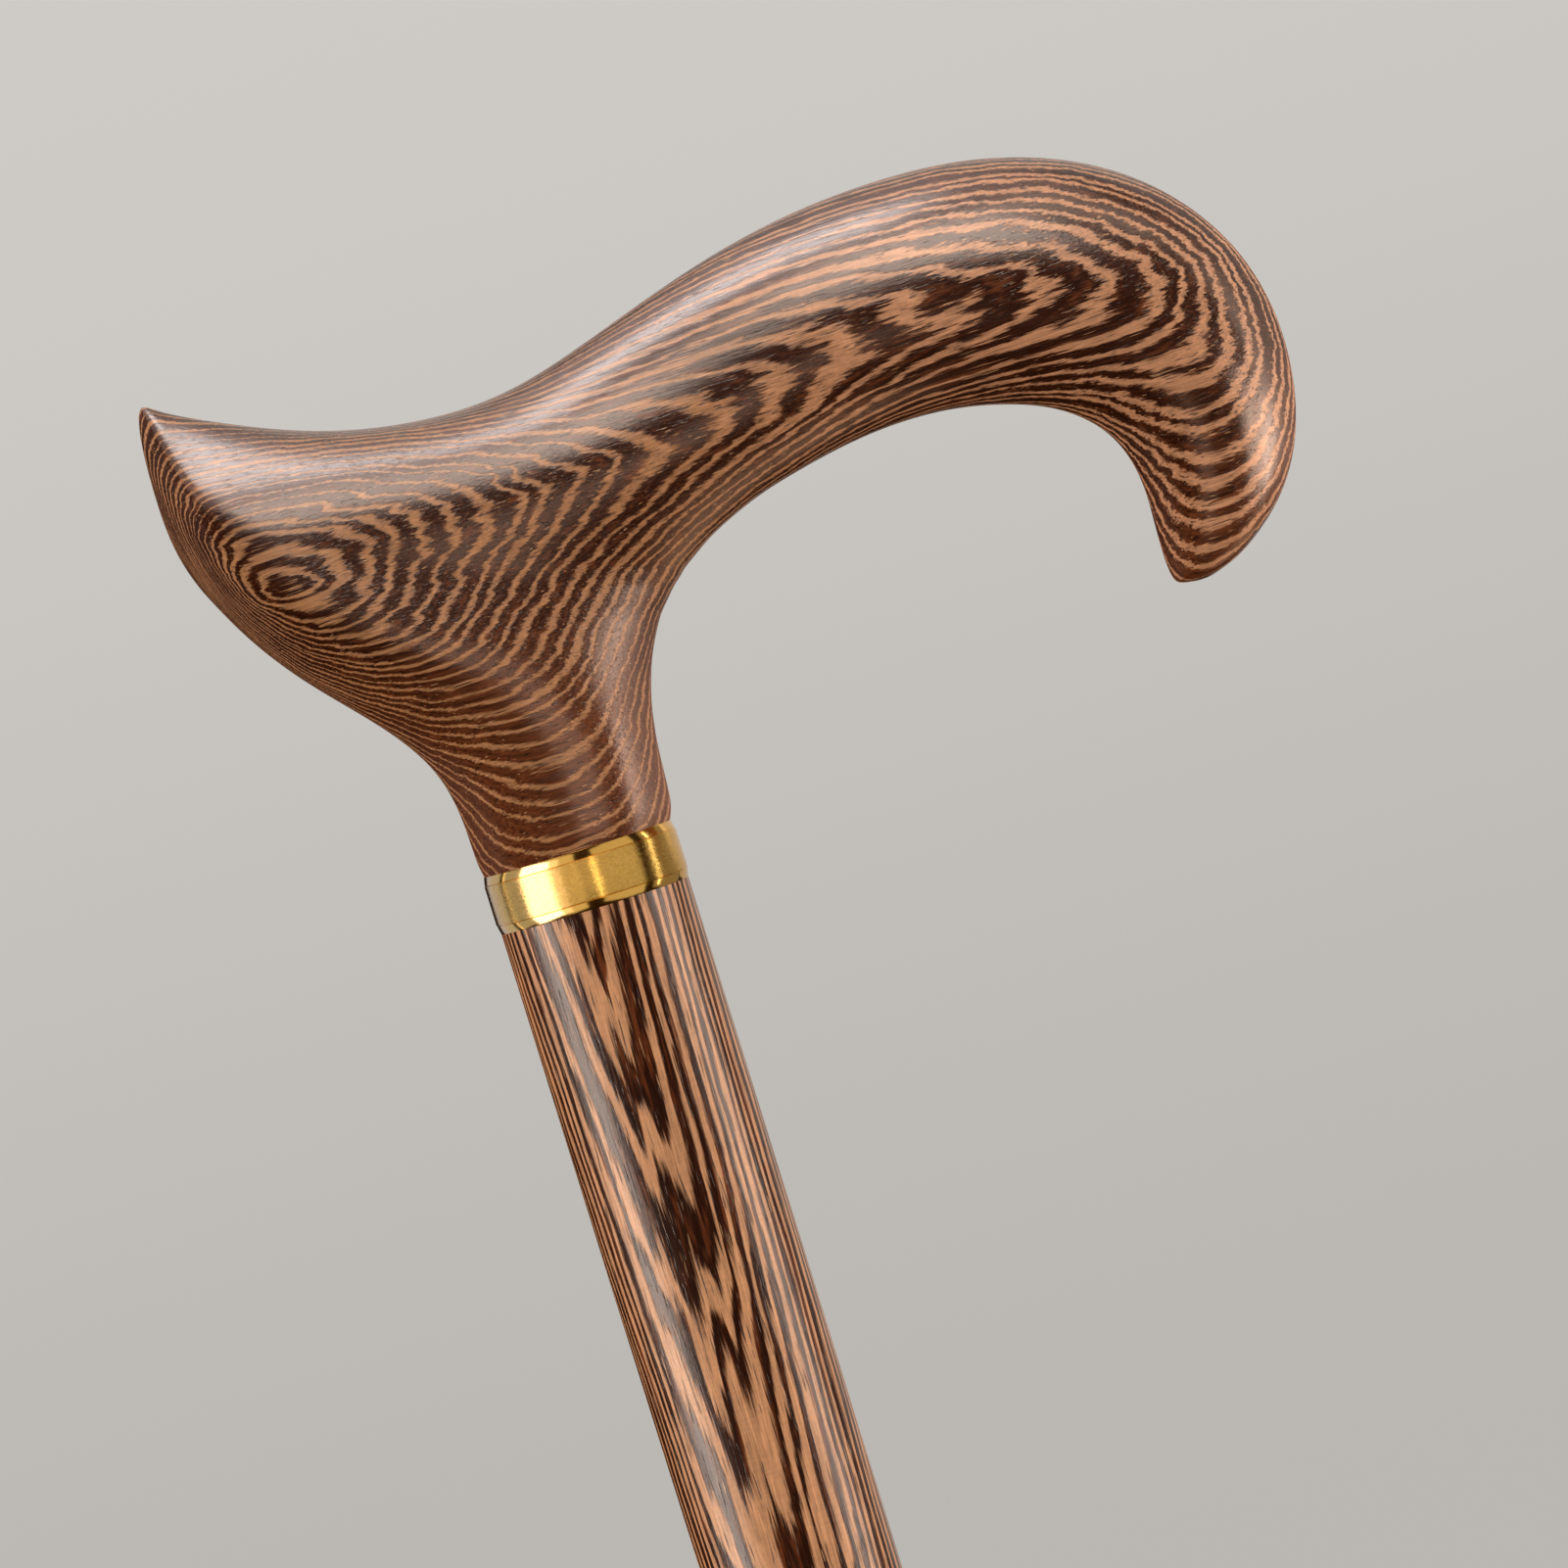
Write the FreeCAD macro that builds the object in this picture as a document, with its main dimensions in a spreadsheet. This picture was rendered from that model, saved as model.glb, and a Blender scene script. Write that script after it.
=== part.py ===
import FreeCAD, Part
import Sketcher
import math
import os

# A derby handle cane: a carved hardwood handle on a turned shaft, joined by a hidden steel stud,
# with a brass collar over the joint and a pull-on rubber tip on the floor end.
# Millimetres. +Z runs up the shaft from the floor, +X towards the handle's beak, and the cane is
# symmetric about the XZ plane. The origin is the middle of the rubber tip's floor face.

Vector = FreeCAD.Vector
os.makedirs("parts", exist_ok=True)
doc = FreeCAD.newDocument("DerbyCane")

SIZES = {
    # whole cane
    "overall_length": 920.0,
    # handle
    "handle_length": 125.7,
    "handle_rise": 60.4,
    "grip_width": 32.4,
    "neck_dia": 21.4,
    # collar
    "collar_dia": 22.0,
    "collar_height": 6.6,
    "collar_wall": 1.2,
    "band_height": 1.0,
    "band_depth": 0.25,
    # shaft
    "shaft_top_dia": 21.5,
    "clip_zone_length": 40.0,
    "shaft_end_dia": 18.0,
    "end_zone_length": 42.0,
    "end_chamfer": 0.8,
    # stud
    "stud_dia": 8.0,
    "stud_length": 70.0,
    "stud_chamfer": 1.0,
    "stud_groove_depth": 0.5,
    "stud_groove_pitch": 2.5,
    # fits
    "glue_gap": 0.05,
    "glue_well": 1.0,
    "pull_fit_gap": 0.05,
    # rubber tip
    "tip_height": 45.0,
    "tip_tread_dia": 31.0,
    "tip_base_dia": 34.0,
    "tip_neck_dia": 25.0,
    "tip_foot_height": 3.0,
    "tip_base_height": 9.0,
    "tip_flare_height": 20.0,
    "tip_bore_dia": 18.8,
    "tip_floor": 13.0,
    "tip_edge_round": 1.2,
    "tip_base_round": 1.6,
    "tip_flare_round": 9.0,
    "tip_rim_round": 1.0,
    "bead_height": 2.4,
    "bead_depth": 0.9,
    "bead_pitch": 4.4,
    "rib_height": 1.6,
    "rib_pitch": 8.0,
    "tread_pad_dia": 9.0,
    "tread_groove": 1.8,
    "tread_pitch": 3.6,
    "tread_depth": 2.5,
    # washer
    "washer_dia": 17.0,
    "washer_hole_dia": 6.0,
    "washer_thickness": 1.5,
}
TREAD_GROOVE_COUNT = 3
BEAD_COUNT = 3
RIB_COUNT = 3

sheet = doc.addObject("Spreadsheet::Sheet", "Sizes")
for row, (alias, size) in enumerate(SIZES.items(), start=1):
    sheet.set("A%d" % row, alias)
    sheet.set("B%d" % row, str(size))
    sheet.setAlias("B%d" % row, alias)
doc.recompute()

# Levels and radii that several pieces share, written once
COLLAR_TOP = "(Sizes.overall_length - Sizes.handle_rise)"
COLLAR_FOOT = "(%s - Sizes.collar_height)" % COLLAR_TOP
SEAT_RADIUS = "(Sizes.collar_dia / 2 - Sizes.collar_wall - Sizes.glue_gap)"
COLLAR_BORE_RADIUS = "(Sizes.collar_dia / 2 - Sizes.collar_wall)"
SHAFT_END = "(Sizes.tip_floor + Sizes.washer_thickness)"
STUD_HOLE_RADIUS = "(Sizes.stud_dia / 2 + Sizes.glue_gap)"
STUD_HOLE_DEPTH = "(Sizes.stud_length / 2 + Sizes.glue_well)"
RIB_DEPTH = "(Sizes.tip_bore_dia / 2 - Sizes.shaft_end_dia / 2 - Sizes.pull_fit_gap)"


def amount(expression):
    """The value of an expression of the sheet's sizes, as a plain number."""
    result = sheet.evalExpression(expression)
    return float(getattr(result, "Value", result))


def origin_plane(body, role):
    return next(item for item in body.Origin.OriginFeatures if item.Role == role)


def new_body(label):
    body = doc.addObject("PartDesign::Body", label)
    body.Label = label
    return body


def closed_outline(sketch, corners):
    """Add a closed chain of lines to a sketch, each corner bound to two expressions of the sheet."""
    places = [Vector(amount(across), amount(up), 0) for across, up in corners]
    first = sketch.GeometryCount
    count = len(corners)
    for index in range(count):
        line = Part.LineSegment(places[index], places[(index + 1) % count])
        sketch.addGeometry(line, False)
    for index in range(count):
        following = first + (index + 1) % count
        sketch.addConstraint(Sketcher.Constraint("Coincident", first + index, 2, following, 1))
    for index, (across, up) in enumerate(corners):
        for kind, axis, expression in (("DistanceX", -2, across), ("DistanceY", -1, up)):
            edge = first + index
            if expression == "0":
                sketch.addConstraint(Sketcher.Constraint("PointOnObject", edge, 1, axis))
                continue
            size = amount(expression)
            number = sketch.addConstraint(Sketcher.Constraint(kind, -1, 1, edge, 1, size))
            name = "%s_%d" % (kind, edge)
            sketch.renameConstraint(number, name)
            sketch.setExpression("Constraints." + name, expression)


def outline_sketch(body, label, outlines, role="XZ_Plane"):
    sketch = body.newObject("Sketcher::SketchObject", label)
    sketch.AttachmentSupport = (origin_plane(body, role), [""])
    sketch.MapMode = "FlatFace"
    for corners in outlines:
        closed_outline(sketch, corners)
    doc.recompute()
    return sketch


def turned(body, label, outlines, kind="Revolution"):
    """Turn a half section round the body's Z axis: added as a Revolution or cut as a Groove."""
    before = body.Shape.Volume if kind == "Groove" else None
    sketch = outline_sketch(body, label + "_section", outlines)
    feature = body.newObject("PartDesign::" + kind, label)
    feature.Profile = sketch
    feature.ReferenceAxis = (sketch, ["V_Axis"])
    feature.Angle = 360.0
    body.Tip = feature
    doc.recompute()
    if before is not None and not feature.Shape.Volume < before:
        raise RuntimeError(label + " cuts nothing")
    return feature


def stacked(body, feature, label, span, copies):
    """Repeat a turned feature up the body's Z axis, over a span given as an expression."""
    pattern = body.newObject("PartDesign::LinearPattern", label)
    pattern.Originals = [feature]
    pattern.Direction = (feature.Profile[0], ["V_Axis"])
    pattern.setExpression("Length", span)
    pattern.Occurrences = copies
    body.Tip = pattern
    doc.recompute()
    return pattern


def rounded(body, label, circles, radius):
    """Round the circular edges that lie at the given (radius, height) expressions."""
    base = body.Tip
    places = [(amount(across), amount(up)) for across, up in circles]
    names = []
    for number, edge in enumerate(base.Shape.Edges, start=1):
        if not isinstance(edge.Curve, Part.Circle):
            continue
        for across, up in places:
            same_radius = math.isclose(edge.Curve.Radius, across, rel_tol=1e-6)
            same_height = math.isclose(edge.Curve.Center.z, up, rel_tol=1e-6, abs_tol=1e-6)
            if same_radius and same_height:
                names.append("Edge%d" % number)
    if len(names) != len(circles):
        raise RuntimeError(label + " found %d of %d edges" % (len(names), len(circles)))
    fillet = body.newObject("PartDesign::Fillet", label)
    fillet.Base = (base, names)
    fillet.setExpression("Radius", radius)
    body.Tip = fillet
    doc.recompute()
    return fillet


# Handle. Its skin is one smooth surface over rings of points that run from the neck's foot, up the
# nose side, over the pointed nose, along the saddle and the grip and down to the beak's end.
# A ring crosses the block from an outer point (nose side or top) to an inner point (underside).

# neck rings: outer x, outer z, inner x, inner z, half width. Widths and x are shares of the neck's
# radius and z of the handle's rise.
NECK_SHARES = (
    (-1.000, 0.000, 1.000, 0.000, 1.000),
    (-1.028, 0.040, 1.065, 0.036, 1.037),
    (-1.047, 0.123, 1.093, 0.103, 1.056),
    (-1.196, 0.222, 1.140, 0.179, 1.093),
)
# handle rings: outer x, outer z, inner x, inner z, half width, lean of the widest point towards the
# outer side, sag of the ring's middle in x and in z, and how pointed its outer side is. x is a share
# of the handle's length, z of its rise and the width of half the grip's width.
HANDLE_SHARES = (
    (-0.137, 0.328, 0.105, 0.245, 0.784, 0.15, 0.000, 0.000, 0.00),
    (-0.186, 0.444, 0.114, 0.295, 0.877, 0.25, -0.004, -0.013, 0.00),
    (-0.226, 0.573, 0.123, 0.331, 0.951, 0.33, -0.013, -0.036, 0.10),
    (-0.249, 0.705, 0.132, 0.361, 0.988, 0.38, -0.027, -0.070, 0.30),
    (-0.260, 0.834, 0.142, 0.384, 1.000, 0.40, -0.035, -0.106, 0.60),
    # the nose's end face meets its top along the middle one of these three rings
    (-0.259, 0.949, 0.150, 0.402, 0.994, 0.40, -0.042, -0.139, 0.95),
    (-0.251, 0.997, 0.158, 0.416, 0.988, 0.40, -0.045, -0.149, 1.00),
    (-0.234, 0.978, 0.165, 0.429, 0.981, 0.38, -0.040, -0.119, 0.95),
    # saddle
    (-0.186, 0.927, 0.178, 0.447, 0.951, 0.32, -0.024, -0.073, 0.60),
    (-0.111, 0.864, 0.196, 0.470, 0.895, 0.24, -0.011, -0.033, 0.20),
    (-0.027, 0.829, 0.220, 0.493, 0.840, 0.15, -0.004, -0.010, 0.00),
    (0.060, 0.831, 0.251, 0.517, 0.809, 0.06, 0.000, 0.000, 0.00),
    # grip
    (0.151, 0.882, 0.291, 0.538, 0.821, 0.00, 0.000, 0.000, 0.00),
    (0.247, 0.945, 0.337, 0.556, 0.858, 0.00, 0.000, 0.000, 0.00),
    (0.342, 0.987, 0.387, 0.565, 0.901, 0.00, 0.000, 0.000, 0.00),
    (0.438, 1.000, 0.436, 0.560, 0.932, 0.00, 0.000, 0.000, 0.00),
    (0.525, 0.983, 0.482, 0.540, 0.932, 0.00, 0.000, 0.000, 0.00),
    # beak
    (0.605, 0.927, 0.523, 0.507, 0.901, 0.00, 0.000, 0.000, 0.00),
    (0.671, 0.831, 0.555, 0.457, 0.840, 0.00, 0.000, 0.000, 0.00),
    (0.718, 0.695, 0.574, 0.394, 0.753, 0.00, 0.000, 0.000, 0.00),
    (0.737, 0.540, 0.581, 0.321, 0.654, 0.00, 0.000, 0.000, 0.00),
    (0.730, 0.379, 0.580, 0.248, 0.543, 0.00, 0.000, 0.000, 0.00),
    (0.700, 0.248, 0.579, 0.185, 0.426, 0.00, 0.000, 0.000, 0.00),
    (0.656, 0.166, 0.581, 0.144, 0.309, 0.00, 0.000, 0.000, 0.00),
    (0.628, 0.137, 0.587, 0.131, 0.185, 0.00, 0.000, 0.000, 0.00),
    (0.613, 0.127, 0.600, 0.126, 0.056, 0.00, 0.000, 0.000, 0.00),
)
RING_POINT_COUNT = 16
POINTED_NARROWING_SHARE = 0.45
CURVE_DEGREE = 3
FITTING_ROUND_COUNT = 3


def handle_rings():
    """The rings that the handle's skin passes through, in the handle's own frame."""
    neck = amount("Sizes.neck_dia / 2")
    length = amount("Sizes.handle_length")
    rise = amount("Sizes.handle_rise")
    half_width = amount("Sizes.grip_width / 2")
    rows = []
    for outer_x, outer_z, inner_x, inner_z, width in NECK_SHARES:
        ends = (outer_x * neck, outer_z * rise, inner_x * neck, inner_z * rise)
        rows.append(ends + (width * neck, 0, 0, 0, 0))
    for outer_x, outer_z, inner_x, inner_z, width, lean, sag_x, sag_z, point in HANDLE_SHARES:
        ends = (outer_x * length, outer_z * rise, inner_x * length, inner_z * rise)
        rows.append(ends + (width * half_width, lean, sag_x * length, sag_z * rise, point))
    return [ring_points(*row) for row in rows]


def ring_points(outer_x, outer_z, inner_x, inner_z, width, lean, sag_x, sag_z, point):
    ring = []
    for number in range(RING_POINT_COUNT):
        turn = 2 * math.pi * number / RING_POINT_COUNT
        sine2 = math.sin(turn) ** 2
        outward = max(math.cos(turn), 0) ** 2
        across = (1 - math.cos(turn) - lean * sine2) / 2
        x = outer_x + (inner_x - outer_x) * across + sag_x * sine2 ** 2
        z = outer_z + (inner_z - outer_z) * across + sag_z * sine2 * (1 + point * outward)
        y = -width * math.sin(turn) * (1 - POINTED_NARROWING_SHARE * point * outward)
        ring.append(Vector(x, y, z))
    return ring


def curve_average(before, here, after):
    """Where a uniform cubic curve passes beside its middle pole."""
    return (before + here * 4 + after) / 6


def skin_points(poles):
    """The points of the smooth skin beside each pole of the net."""
    last = len(poles) - 1
    rounds = []
    for ring in poles:
        size = len(ring)
        rounds.append([curve_average(ring[n - 1], ring[n], ring[(n + 1) % size]) for n in range(size)])
    points = []
    for number, ring in enumerate(rounds):
        if number in (0, last):
            points.append(ring)
            continue
        neighbours = zip(rounds[number - 1], ring, rounds[number + 1])
        points.append([curve_average(*three) for three in neighbours])
    return points


def skin_poles(rings):
    """Move the poles out in a few rounds until the skin passes through the rings."""
    poles = rings
    for _ in range(FITTING_ROUND_COUNT):
        missed = skin_points(poles)
        poles = [
            [pole + (goal - now) for pole, goal, now in zip(*three)]
            for three in zip(poles, rings, missed)
        ]
    return poles


def third_way(ring, towards):
    return [(here * 2 + there) / 3 for here, there in zip(ring, towards)]


def flat_cap(skin, height_first):
    """The flat face that closes the skin at one end of its run."""
    rims = sorted(
        (edge for edge in skin.Edges if edge.isClosed() and not edge.isSeam(skin)),
        key=lambda edge: edge.CenterOfMass.x,
    )
    rim = rims[0] if height_first else rims[-1]
    return Part.Face(Part.Wire([rim]))


def handle_solid():
    poles = skin_poles(handle_rings())
    # the extra ring beside each end lets the skin start and stop on the end rings
    net = [poles[0], third_way(poles[0], poles[1])] + poles[1:-1]
    net += [third_way(poles[-1], poles[-2]), poles[-1]]
    spans = len(poles) - 1
    end_knots = CURVE_DEGREE + 1
    surface = Part.BSplineSurface()
    surface.buildFromPolesMultsKnots(
        net,
        [end_knots] + [1] * (spans - 1) + [end_knots],
        [1] * (RING_POINT_COUNT + 1),
        [float(knot) for knot in range(spans + 1)],
        [float(knot) for knot in range(RING_POINT_COUNT + 1)],
        False,
        True,
        CURVE_DEGREE,
        CURVE_DEGREE,
    )
    skin = surface.toShape()
    shell = Part.makeShell([skin, flat_cap(skin, True), flat_cap(skin, False)])
    shell.sewShape()
    solid = Part.makeSolid(shell)
    if solid.Volume < 0:
        solid.reverse()
    return solid


def build_handle():
    block = handle_solid()
    depth = amount(STUD_HOLE_DEPTH)
    hole = Part.makeCylinder(amount(STUD_HOLE_RADIUS), 2 * depth, Vector(0, 0, -depth))
    feature = doc.addObject("Part::Feature", "handle")
    feature.Label = "handle"
    feature.Shape = block.cut(hole)
    feature.Placement = FreeCAD.Placement(Vector(0, 0, amount(COLLAR_TOP)), FreeCAD.Rotation())
    return feature


def build_collar():
    """Brass ring with a shallow bevelled band at each end, seated on the shaft's shoulder."""
    body = new_body("collar")
    outer = "Sizes.collar_dia / 2"
    edge = "Sizes.collar_dia / 2 - Sizes.band_depth"
    section = [
        (COLLAR_BORE_RADIUS, COLLAR_FOOT),
        (edge, COLLAR_FOOT),
        (outer, COLLAR_FOOT + " + Sizes.band_height"),
        (outer, COLLAR_TOP + " - Sizes.band_height"),
        (edge, COLLAR_TOP),
        (COLLAR_BORE_RADIUS, COLLAR_TOP),
    ]
    turned(body, "collar_ring", [section])
    return body


def build_shaft():
    """Turned stick: parallel end for the tip, long taper, parallel clip zone, seat for the collar."""
    body = new_body("shaft")
    end = "Sizes.shaft_end_dia / 2"
    top = "Sizes.shaft_top_dia / 2"
    section = [
        ("0", SHAFT_END),
        (end + " - Sizes.end_chamfer", SHAFT_END),
        (end, SHAFT_END + " + Sizes.end_chamfer"),
        (end, SHAFT_END + " + Sizes.end_zone_length"),
        (top, COLLAR_FOOT + " - Sizes.clip_zone_length"),
        (top, COLLAR_FOOT),
        (SEAT_RADIUS, COLLAR_FOOT),
        (SEAT_RADIUS, COLLAR_TOP),
        ("0", COLLAR_TOP),
    ]
    turned(body, "stick", [section])
    hole_floor = "%s - %s" % (COLLAR_TOP, STUD_HOLE_DEPTH)
    hole = [
        ("0", hole_floor),
        (STUD_HOLE_RADIUS, hole_floor),
        (STUD_HOLE_RADIUS, COLLAR_TOP),
        ("0", COLLAR_TOP),
    ]
    turned(body, "stud_hole", [hole], "Groove")
    return body


def build_joint_stud():
    """Steel stud, half in the shaft and half in the handle, with grooves that hold the glue."""
    body = new_body("joint_stud")
    radius = "Sizes.stud_dia / 2"
    foot = "(%s - Sizes.stud_length / 2)" % COLLAR_TOP
    head = "(%s + Sizes.stud_length / 2)" % COLLAR_TOP
    section = [
        ("0", foot),
        (radius + " - Sizes.stud_chamfer", foot),
        (radius, foot + " + Sizes.stud_chamfer"),
        (radius, head + " - Sizes.stud_chamfer"),
        (radius + " - Sizes.stud_chamfer", head),
        ("0", head),
    ]
    turned(body, "stud_rod", [section])
    first = "(%s + Sizes.stud_groove_pitch)" % foot
    groove = [
        (radius + " - Sizes.stud_groove_depth", first),
        (radius + " + Sizes.stud_groove_depth", first + " - 2 * Sizes.stud_groove_depth"),
        (radius + " + Sizes.stud_groove_depth", first + " + 2 * Sizes.stud_groove_depth"),
    ]
    cut = turned(body, "glue_groove", [groove], "Groove")
    steps = int(amount("Sizes.stud_length / Sizes.stud_groove_pitch")) - 2
    stacked(body, cut, "glue_grooves", "%d * Sizes.stud_groove_pitch" % steps, steps + 1)
    return body


def build_rubber_tip():
    """Flared rubber cup with beads outside, gripping ribs inside and ring treads underneath."""
    body = new_body("rubber_tip")
    tread = "Sizes.tip_tread_dia / 2"
    base = "Sizes.tip_base_dia / 2"
    neck = "Sizes.tip_neck_dia / 2"
    bore = "Sizes.tip_bore_dia / 2"
    section = [
        ("0", "0"),
        (tread, "0"),
        (base, "Sizes.tip_foot_height"),
        (base, "Sizes.tip_base_height"),
        (neck, "Sizes.tip_flare_height"),
        (neck, "Sizes.tip_height"),
        (bore, "Sizes.tip_height"),
        (bore, "Sizes.tip_floor"),
        ("0", "Sizes.tip_floor"),
    ]
    turned(body, "tip_cup", [section])
    rounded(body, "foot_edge", [(tread, "0")], "Sizes.tip_edge_round")
    edges = [(base, "Sizes.tip_foot_height"), (base, "Sizes.tip_base_height")]
    rounded(body, "base_edges", edges, "Sizes.tip_base_round")
    rounded(body, "flare", [(neck, "Sizes.tip_flare_height")], "Sizes.tip_flare_round")
    rim = [(neck, "Sizes.tip_height"), (bore, "Sizes.tip_height")]
    rounded(body, "rim", rim, "Sizes.tip_rim_round")

    bead_foot = "(Sizes.tip_height - Sizes.tip_rim_round - Sizes.bead_height - %d * Sizes.bead_pitch)"
    bead_foot = bead_foot % (BEAD_COUNT - 1)
    bead = [
        (neck + " - Sizes.bead_depth", bead_foot),
        (neck, bead_foot),
        (neck + " + Sizes.bead_depth", bead_foot + " + Sizes.bead_height / 3"),
        (neck + " + Sizes.bead_depth", bead_foot + " + 2 * Sizes.bead_height / 3"),
        (neck, bead_foot + " + Sizes.bead_height"),
        (neck + " - Sizes.bead_depth", bead_foot + " + Sizes.bead_height"),
    ]
    ring = turned(body, "bead", [bead])
    stacked(body, ring, "beads", "%d * Sizes.bead_pitch" % (BEAD_COUNT - 1), BEAD_COUNT)

    rib_foot = "(Sizes.tip_floor + Sizes.rib_pitch)"
    rib = [
        (bore + " + " + RIB_DEPTH, rib_foot),
        (bore + " - " + RIB_DEPTH, rib_foot + " + Sizes.rib_height / 3"),
        (bore + " - " + RIB_DEPTH, rib_foot + " + 2 * Sizes.rib_height / 3"),
        (bore + " + " + RIB_DEPTH, rib_foot + " + Sizes.rib_height"),
    ]
    ring = turned(body, "rib", [rib])
    stacked(body, ring, "ribs", "%d * Sizes.rib_pitch" % (RIB_COUNT - 1), RIB_COUNT)

    treads = []
    for number in range(TREAD_GROOVE_COUNT):
        inner = "(Sizes.tread_pad_dia / 2 + %d * Sizes.tread_pitch)" % number
        outer = inner + " + Sizes.tread_groove"
        treads.append([
            (inner, "0"),
            (outer, "0"),
            (outer, "Sizes.tread_depth"),
            (inner, "Sizes.tread_depth"),
        ])
    turned(body, "tread_grooves", treads, "Groove")
    return body


def build_tip_washer():
    """Steel washer on the floor of the tip's bore, under the shaft's end."""
    body = new_body("tip_washer")
    hole = "Sizes.washer_hole_dia / 2"
    outer = "Sizes.washer_dia / 2"
    section = [
        (hole, "Sizes.tip_floor"),
        (outer, "Sizes.tip_floor"),
        (outer, SHAFT_END),
        (hole, SHAFT_END),
    ]
    turned(body, "washer_ring", [section])
    return body


pieces = [
    build_handle(),
    build_collar(),
    build_shaft(),
    build_joint_stud(),
    build_rubber_tip(),
    build_tip_washer(),
]
doc.recompute()

for item in doc.Objects:
    if "Invalid" in item.State or "Error" in item.State:
        raise RuntimeError("%s did not build: %s" % (item.Label, item.State))
for piece in pieces:
    if piece.Shape.isNull() or not piece.Shape.isValid() or len(piece.Shape.Solids) != 1:
        raise RuntimeError(piece.Label + " is not one sound solid")

for piece in pieces:
    piece.Shape.exportStep("parts/%s.step" % piece.Label)
    box = piece.Shape.optimalBoundingBox(False)
    print("%-12s volume %10.1f mm3, z %7.2f to %7.2f, x %6.2f to %6.2f" % (
        piece.Label, piece.Shape.Volume, box.ZMin, box.ZMax, box.XMin, box.XMax))
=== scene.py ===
"""A derby handle cane in striped hardwood, dressed for the studio.

The handle is carved, the shaft is turned, a brass collar covers their joint and a rubber tip ends the
shaft. Metres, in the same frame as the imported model: +Z runs up the shaft and +X towards the beak.
"""

import logging
import math
from dataclasses import dataclass, field
from enum import Enum
from typing import Iterable, Sequence

import bmesh
import bpy
from mathutils import Matrix, Vector


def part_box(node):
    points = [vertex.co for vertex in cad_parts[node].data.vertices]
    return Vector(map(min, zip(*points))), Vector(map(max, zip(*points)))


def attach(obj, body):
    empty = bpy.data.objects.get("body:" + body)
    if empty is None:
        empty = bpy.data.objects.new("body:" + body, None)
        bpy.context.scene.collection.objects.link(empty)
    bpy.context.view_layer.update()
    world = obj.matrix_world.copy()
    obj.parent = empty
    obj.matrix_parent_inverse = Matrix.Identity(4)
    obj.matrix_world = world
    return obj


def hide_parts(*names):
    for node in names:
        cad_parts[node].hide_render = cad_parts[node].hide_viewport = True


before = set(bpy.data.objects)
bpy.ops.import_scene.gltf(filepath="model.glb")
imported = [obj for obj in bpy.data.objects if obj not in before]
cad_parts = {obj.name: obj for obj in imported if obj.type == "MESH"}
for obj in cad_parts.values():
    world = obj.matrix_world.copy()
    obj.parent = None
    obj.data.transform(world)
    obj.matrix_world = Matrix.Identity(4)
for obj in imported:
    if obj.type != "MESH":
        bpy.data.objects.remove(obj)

logging.basicConfig(level=logging.INFO, format="%(message)s")
log = logging.getLogger("cane")

MM = 0.001

Piece = bpy.types.Object
Socket = bpy.types.NodeSocket
Value = float | Socket
Fed = dict[str | int, object]
Seen = tuple[int, int, int]
Point = tuple[float, float, float]


class Body(Enum):
    """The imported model's moving bodies."""

    CANE = "cane"
    TIP = "tip"


class Slot(Enum):
    """The cane's finishes, one for each dressed piece."""

    HANDLE_WOOD = "handle_wood"
    SHAFT_WOOD = "shaft_wood"
    BRASS = "collar_brass"
    RUBBER = "tip_rubber"


class Polish(Enum):
    """How a metal surface is finished."""

    BRUSHED = "brushed"
    POLISHED = "polished"


def linear(seen: Seen) -> tuple[float, float, float, float]:
    """Turn a colour as seen, in steps of 0 to 255, into the shader's linear colour."""
    shares = [step / 255 for step in seen]
    return (*(share / 12.92 if share <= 0.04045 else ((share + 0.055) / 1.055) ** 2.4
              for share in shares), 1.0)


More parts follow.
